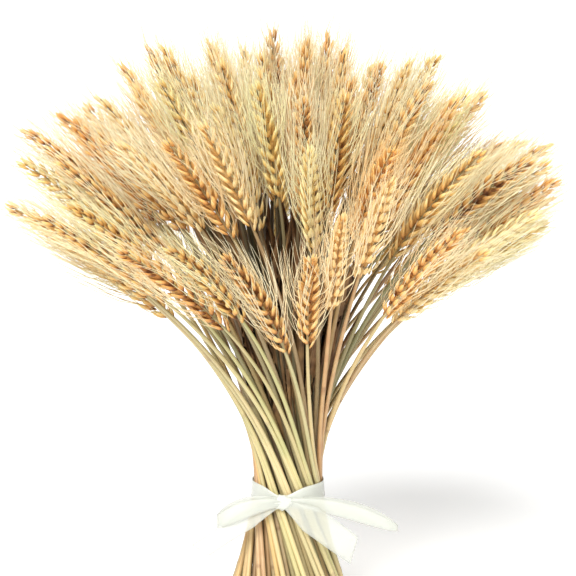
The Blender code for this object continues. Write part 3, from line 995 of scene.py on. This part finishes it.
ribbon = {
    "thickness": 0.00025,
    "width": 0.0150,
    "across": 6,  # faces across it
    "bandSteps": 120,
    "bandHalfHeight": 0.0055,
    "bandGap": 0.00035,
    "bandFold": 0.00035,
    "bandPleat": 0.0004,
    "bandPinch": 0.30,  # how much narrower the band is under the knot
    "pinchAngle": 0.42,  # radians beside the knot
    "pleatAngle": 0.7,
    "bandLift": 0.0005,
    "knotSteps": 28,
    "knotX": -0.004,
    "knotDrop": 0.004,  # the knot hangs this far under the band's middle
    "knotDepth": 0.0024,
    "knotHalf": (0.0052, 0.0019, 0.0040),
    "knotSkew": (0.0034, 0.0022),  # sideways with height, and down with its width
    "knotPleat": 0.13,
    "pressed": 0.004,  # width of a loop or a tail inside the knot
    "loopSteps": 44,
    "tailSteps": 30,
}
# heading is the way that a loop or a tail leaves the knot, hold how far in front of the knot's middle
loops = (
    {"heading": (-1, 0.06, 0), "reach": 0.042, "drop": 0.013, "belly": 0.0046, "hold": 0.0014,
     "width": 0.016, "pinch": 0.45, "ruffle": 0.0006, "fullness": 0.3},
    {"heading": (1, 0.10, 0), "reach": 0.076, "drop": 0.019, "belly": 0.0044, "hold": 0.0007,
     "width": 0.015, "pinch": 0.75, "ruffle": 0.0008, "fullness": 0.2},
)
tails = (
    {"heading": (-1, 0.02, 0), "reach": 0.053, "drop": 0.032, "bulge": 0.003, "hold": -0.0002,
     "width": 0.012, "sway": 0.0012, "slant": 0.003, "fullness": 0.2},
    {"heading": (1, -0.02, 0), "reach": 0.047, "drop": 0.031, "bulge": 0.004, "hold": 0.0002,
     "width": 0.018, "sway": 0.0014, "slant": 0.004, "fullness": 0.15},
)


def bandRadius(z):
    slant = sheaf["twistSlope"] * (z - sheaf["waistHeight"]) / bundleRadius
    return bundleRadius * math.hypot(1, slant) + sheaf["strawRadius"] * 1.08 + ribbon["bandGap"]


def knotCentre():
    y = -bandRadius(sheaf["tieHeight"]) - ribbon["knotDepth"]
    return Vector((ribbon["knotX"], y, sheaf["tieHeight"] - ribbon["knotDrop"]))


def clothStrip(bm, rows, fullness, closed=False):
    # rows of points across the ribbon, joined into a strip with its length and width as UV;
    # the fuller it is, the less light comes through
    place = bm.loops.layers.uv["ribbonPlace"]
    cover = bm.verts.layers.float["fullness"]
    verts = [[bm.verts.new(p) for p in row] for row in rows]
    for row in verts:
        for vert in row:
            vert[cover] = fullness
    if closed:
        verts.append(verts[0])
    run = 0.0
    wide = ribbon["width"] / ribbon["across"]
    for a, b in zip(verts, verts[1:]):
        stride = (b[0].co - a[0].co).length
        for k in range(ribbon["across"]):
            face = bm.faces.new((a[k], a[k + 1], b[k + 1], b[k]))
            low, high = k * wide, (k + 1) * wide
            corners = ((run, low), (run, high), (run + stride, high), (run + stride, low))
            for loop, uv in zip(face.loops, corners):
                loop[place].uv = uv
        run += stride


def acrossRibbon():
    # places across the ribbon, from one edge at -1 to the other at 1
    return [2 * k / ribbon["across"] - 1 for k in range(ribbon["across"] + 1)]


def bandRows():
    rows, steps = [], ribbon["bandSteps"]
    knotAngle = math.atan2(knotCentre().y, knotCentre().x)
    for i in range(steps):
        angle = math.tau * i / steps
        beside = math.remainder(angle - knotAngle, math.tau)
        near = math.exp(-((beside / ribbon["pinchAngle"]) ** 2))
        half = ribbon["bandHalfHeight"] * (1 - ribbon["bandPinch"] * near)
        row = []
        for across in acrossRibbon():
            z = sheaf["tieHeight"] + across * half - ribbon["knotDrop"] * near
            fold = abs(math.sin(5.0 * across + 3.0 * math.sin(angle * 2) + 1.0))
            pleat = 1 + math.cos(across * 9 + 4 * beside) * math.exp(-((beside / ribbon["pleatAngle"]) ** 2))
            radius = bandRadius(z) + ribbon["bandFold"] * fold
            radius += ribbon["bandPleat"] * pleat * near**0.4 + ribbon["bandLift"] * near
            row.append(Vector((radius * math.cos(angle), radius * math.sin(angle), z)))
        rows.append(row)
    return rows


def loopRows(loop):
    heading = Vector(loop["heading"]).normalized()
    back = Vector((0, 1, 0)) - heading * heading.y
    rows, steps = [], ribbon["loopSteps"]
    pressed = ribbon["pressed"]
    for i in range(steps + 1):
        t = i / steps
        out = math.sin(math.pi * t)
        behind = -loop["hold"] * math.cos(math.pi * t) - loop["belly"] * math.sin(math.tau * t)
        sag = Vector((0, 0, loop["drop"] * out**2))
        centre = knotCentre() + heading * loop["reach"] * out + back * behind - sag
        wide = pressed + (loop["width"] * (1 - loop["pinch"] * out**5) - pressed) * out**0.7
        row = []
        for across in acrossRibbon():
            cup = 0.0012 * (1 - across * across) * out * (-1 if t < 0.5 else 1)
            gather = 0.0007 * math.cos(across * 7) * (1 - out) ** 2
            ruffle = loop["ruffle"] * math.sin(across * 2.5 + t * 17) * out * 0.6
            row.append(centre + Vector((0, 0, across * wide / 2)) + back * (cup + gather + ruffle))
        rows.append(row)
    return rows


def tailRows(tail):
    heading = Vector(tail["heading"]).normalized()
    rows, steps = [], ribbon["tailSteps"]
    pressed = ribbon["pressed"]

    def centreAt(t):
        out = Vector((0, -1, 0)) * (tail["hold"] + tail["bulge"] * math.sin(math.pi * t * 0.8))
        return knotCentre() + heading * tail["reach"] * t - Vector((0, 0, tail["drop"] * t**1.2)) + out

    for i in range(steps + 1):
        t = i / steps
        run = centreAt(min(1.02, t + 0.02)) - centreAt(max(0, t - 0.02))
        facing = run.cross(Vector((0, -1, 0.15))).normalized()
        normal = facing.cross(run).normalized()
        wide = pressed + (tail["width"] - pressed) * min(1, 2.5 * t)
        row = []
        for across in acrossRibbon():
            sway = tail["sway"] * math.sin(t * 9 + across * 1.3) * t
            cut = run.normalized() * tail["slant"] * across * t**6
            row.append(centreAt(t) + facing * across * wide / 2 + normal * sway + cut)
        rows.append(row)
    return rows


def knotRows():
    # a short wrap of ribbon over the crossing, gathered into pleats
    rows, steps = [], ribbon["knotSteps"]
    halfWidth, halfDepth, halfHeight = ribbon["knotHalf"]
    lean, fall = ribbon["knotSkew"]
    for i in range(steps):
        angle = math.tau * i / steps
        row = []
        for across in acrossRibbon():
            swell = 1 - 0.30 * abs(across) ** 3
            pleat = 1 + ribbon["knotPleat"] * math.sin(across * 8 + 2 * angle)
            x = across * halfWidth + lean * math.sin(angle)
            y = math.cos(angle) * halfDepth * swell * pleat
            z = math.sin(angle) * halfHeight * swell * pleat - across * fall
            row.append(knotCentre() + Vector((x, y, z)))
        rows.append(row)
    return rows


def buildRibbon():
    bm = bmesh.new()
    bm.loops.layers.uv.new("ribbonPlace")
    bm.verts.layers.float.new("fullness")
    clothStrip(bm, bandRows(), 1.0, closed=True)
    clothStrip(bm, knotRows(), 1.0, closed=True)
    for loop in loops:
        clothStrip(bm, loopRows(loop), loop["fullness"])
    for tail in tails:
        clothStrip(bm, tailRows(tail), tail["fullness"])
    mesh = bpy.data.meshes.new("satinRibbon")
    bm.to_mesh(mesh)
    bm.free()
    mesh.shade_smooth()
    mesh.materials.append(ribbonMaterial())
    obj = addObject("satinRibbon", mesh)
    wall = obj.modifiers.new("Wall", "SOLIDIFY")
    wall.thickness = ribbon["thickness"]
    wall.offset = 0
    area = sum(polygon.area for polygon in makePlain(obj, wall).polygons) / 2
    print("ribbon area", round(area * 1e6), "square mm")
    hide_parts("ribbon")
    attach(obj, "root")


# Floor, light and camera

view = {
    "distance": 1.30,
    "eyeHeight": 0.42,
    "aimHeight": 0.2206,
    "frameWidth": 0.3744,  # what the photograph spans at the sheaf's axis
    "sensorWidth": 36,
    "roomLight": 0.34,
    "backdrop": 1.0,
    "keyLight": 3.8,
    "keySoftness": 32,
    "keyDirection": (0.30, 0.90, -0.80),
    "fillLight": 0.4,
    "fillSoftness": 50,
    "fillDirection": (-0.8, 0.6, -0.5),
    "floorSize": 400,
    "floorColour": (0.93, 0.93, 0.92, 1),
    "floorGlow": 0.40,  # keeps the shadows on the floor pale
}


def buildFloor():
    bpy.ops.mesh.primitive_plane_add(size=view["floorSize"], location=(0, 0, 0))
    floor = bpy.context.object
    floor.name = "floor"
    _, material, _, shader = newMaterial("paleFloor")
    shader.inputs["Base Color"].default_value = view["floorColour"]
    shader.inputs["Emission Color"].default_value = view["floorColour"]
    shader.inputs["Emission Strength"].default_value = view["floorGlow"]
    floor.data.materials.append(material)


def addSun(name):
    light = bpy.data.lights.new(f"{name}Light", "SUN")
    light.angle = math.radians(view[f"{name}Softness"])
    light.energy = view[f"{name}Light"]
    lamp = addObject(f"{name}Light", light)
    lamp.rotation_euler = Vector(view[f"{name}Direction"]).to_track_quat("-Z", "Y").to_euler()


def buildLight():
    world = bpy.data.worlds.new("studio")
    world.use_nodes = True
    tree = world.node_tree
    background = tree.nodes["Background"]
    background.inputs["Color"].default_value = (1, 1, 1, 1)
    background.inputs["Strength"].default_value = view["roomLight"]
    seen = {"Color": (1, 1, 1, 1), "Strength": view["backdrop"]}  # by the camera, behind the floor
    backdrop = addNode(tree, "ShaderNodeBackground", seen)
    rays = tree.nodes.new("ShaderNodeLightPath")
    mix = addNode(tree, "ShaderNodeMixShader", {
        "Fac": rays.outputs["Is Camera Ray"],
        1: background.outputs["Background"],
        2: backdrop.outputs["Background"],
    })
    tree.links.new(mix.outputs["Shader"], tree.nodes["World Output"].inputs["Surface"])
    bpy.context.scene.world = world
    addSun("key")
    addSun("fill")
    bpy.context.scene.view_settings.view_transform = "Standard"


def buildCamera():
    camera = addObject("camera", bpy.data.cameras.new("camera"))
    flat = math.sqrt(view["distance"] ** 2 - (view["eyeHeight"] - view["aimHeight"]) ** 2)
    camera.location = (0, -flat, view["eyeHeight"])
    aim = Vector((0, 0, view["aimHeight"])) - camera.location
    camera.rotation_euler = aim.to_track_quat("-Z", "Y").to_euler()
    camera.data.sensor_width = view["sensorWidth"]
    camera.data.lens = view["sensorWidth"] * view["distance"] / view["frameWidth"]
    bpy.context.scene.camera = camera


growSheaf()
buildRibbon()
print("tied the ribbon")
buildFloor()
buildLight()
buildCamera()
print("set the floor, light and camera")
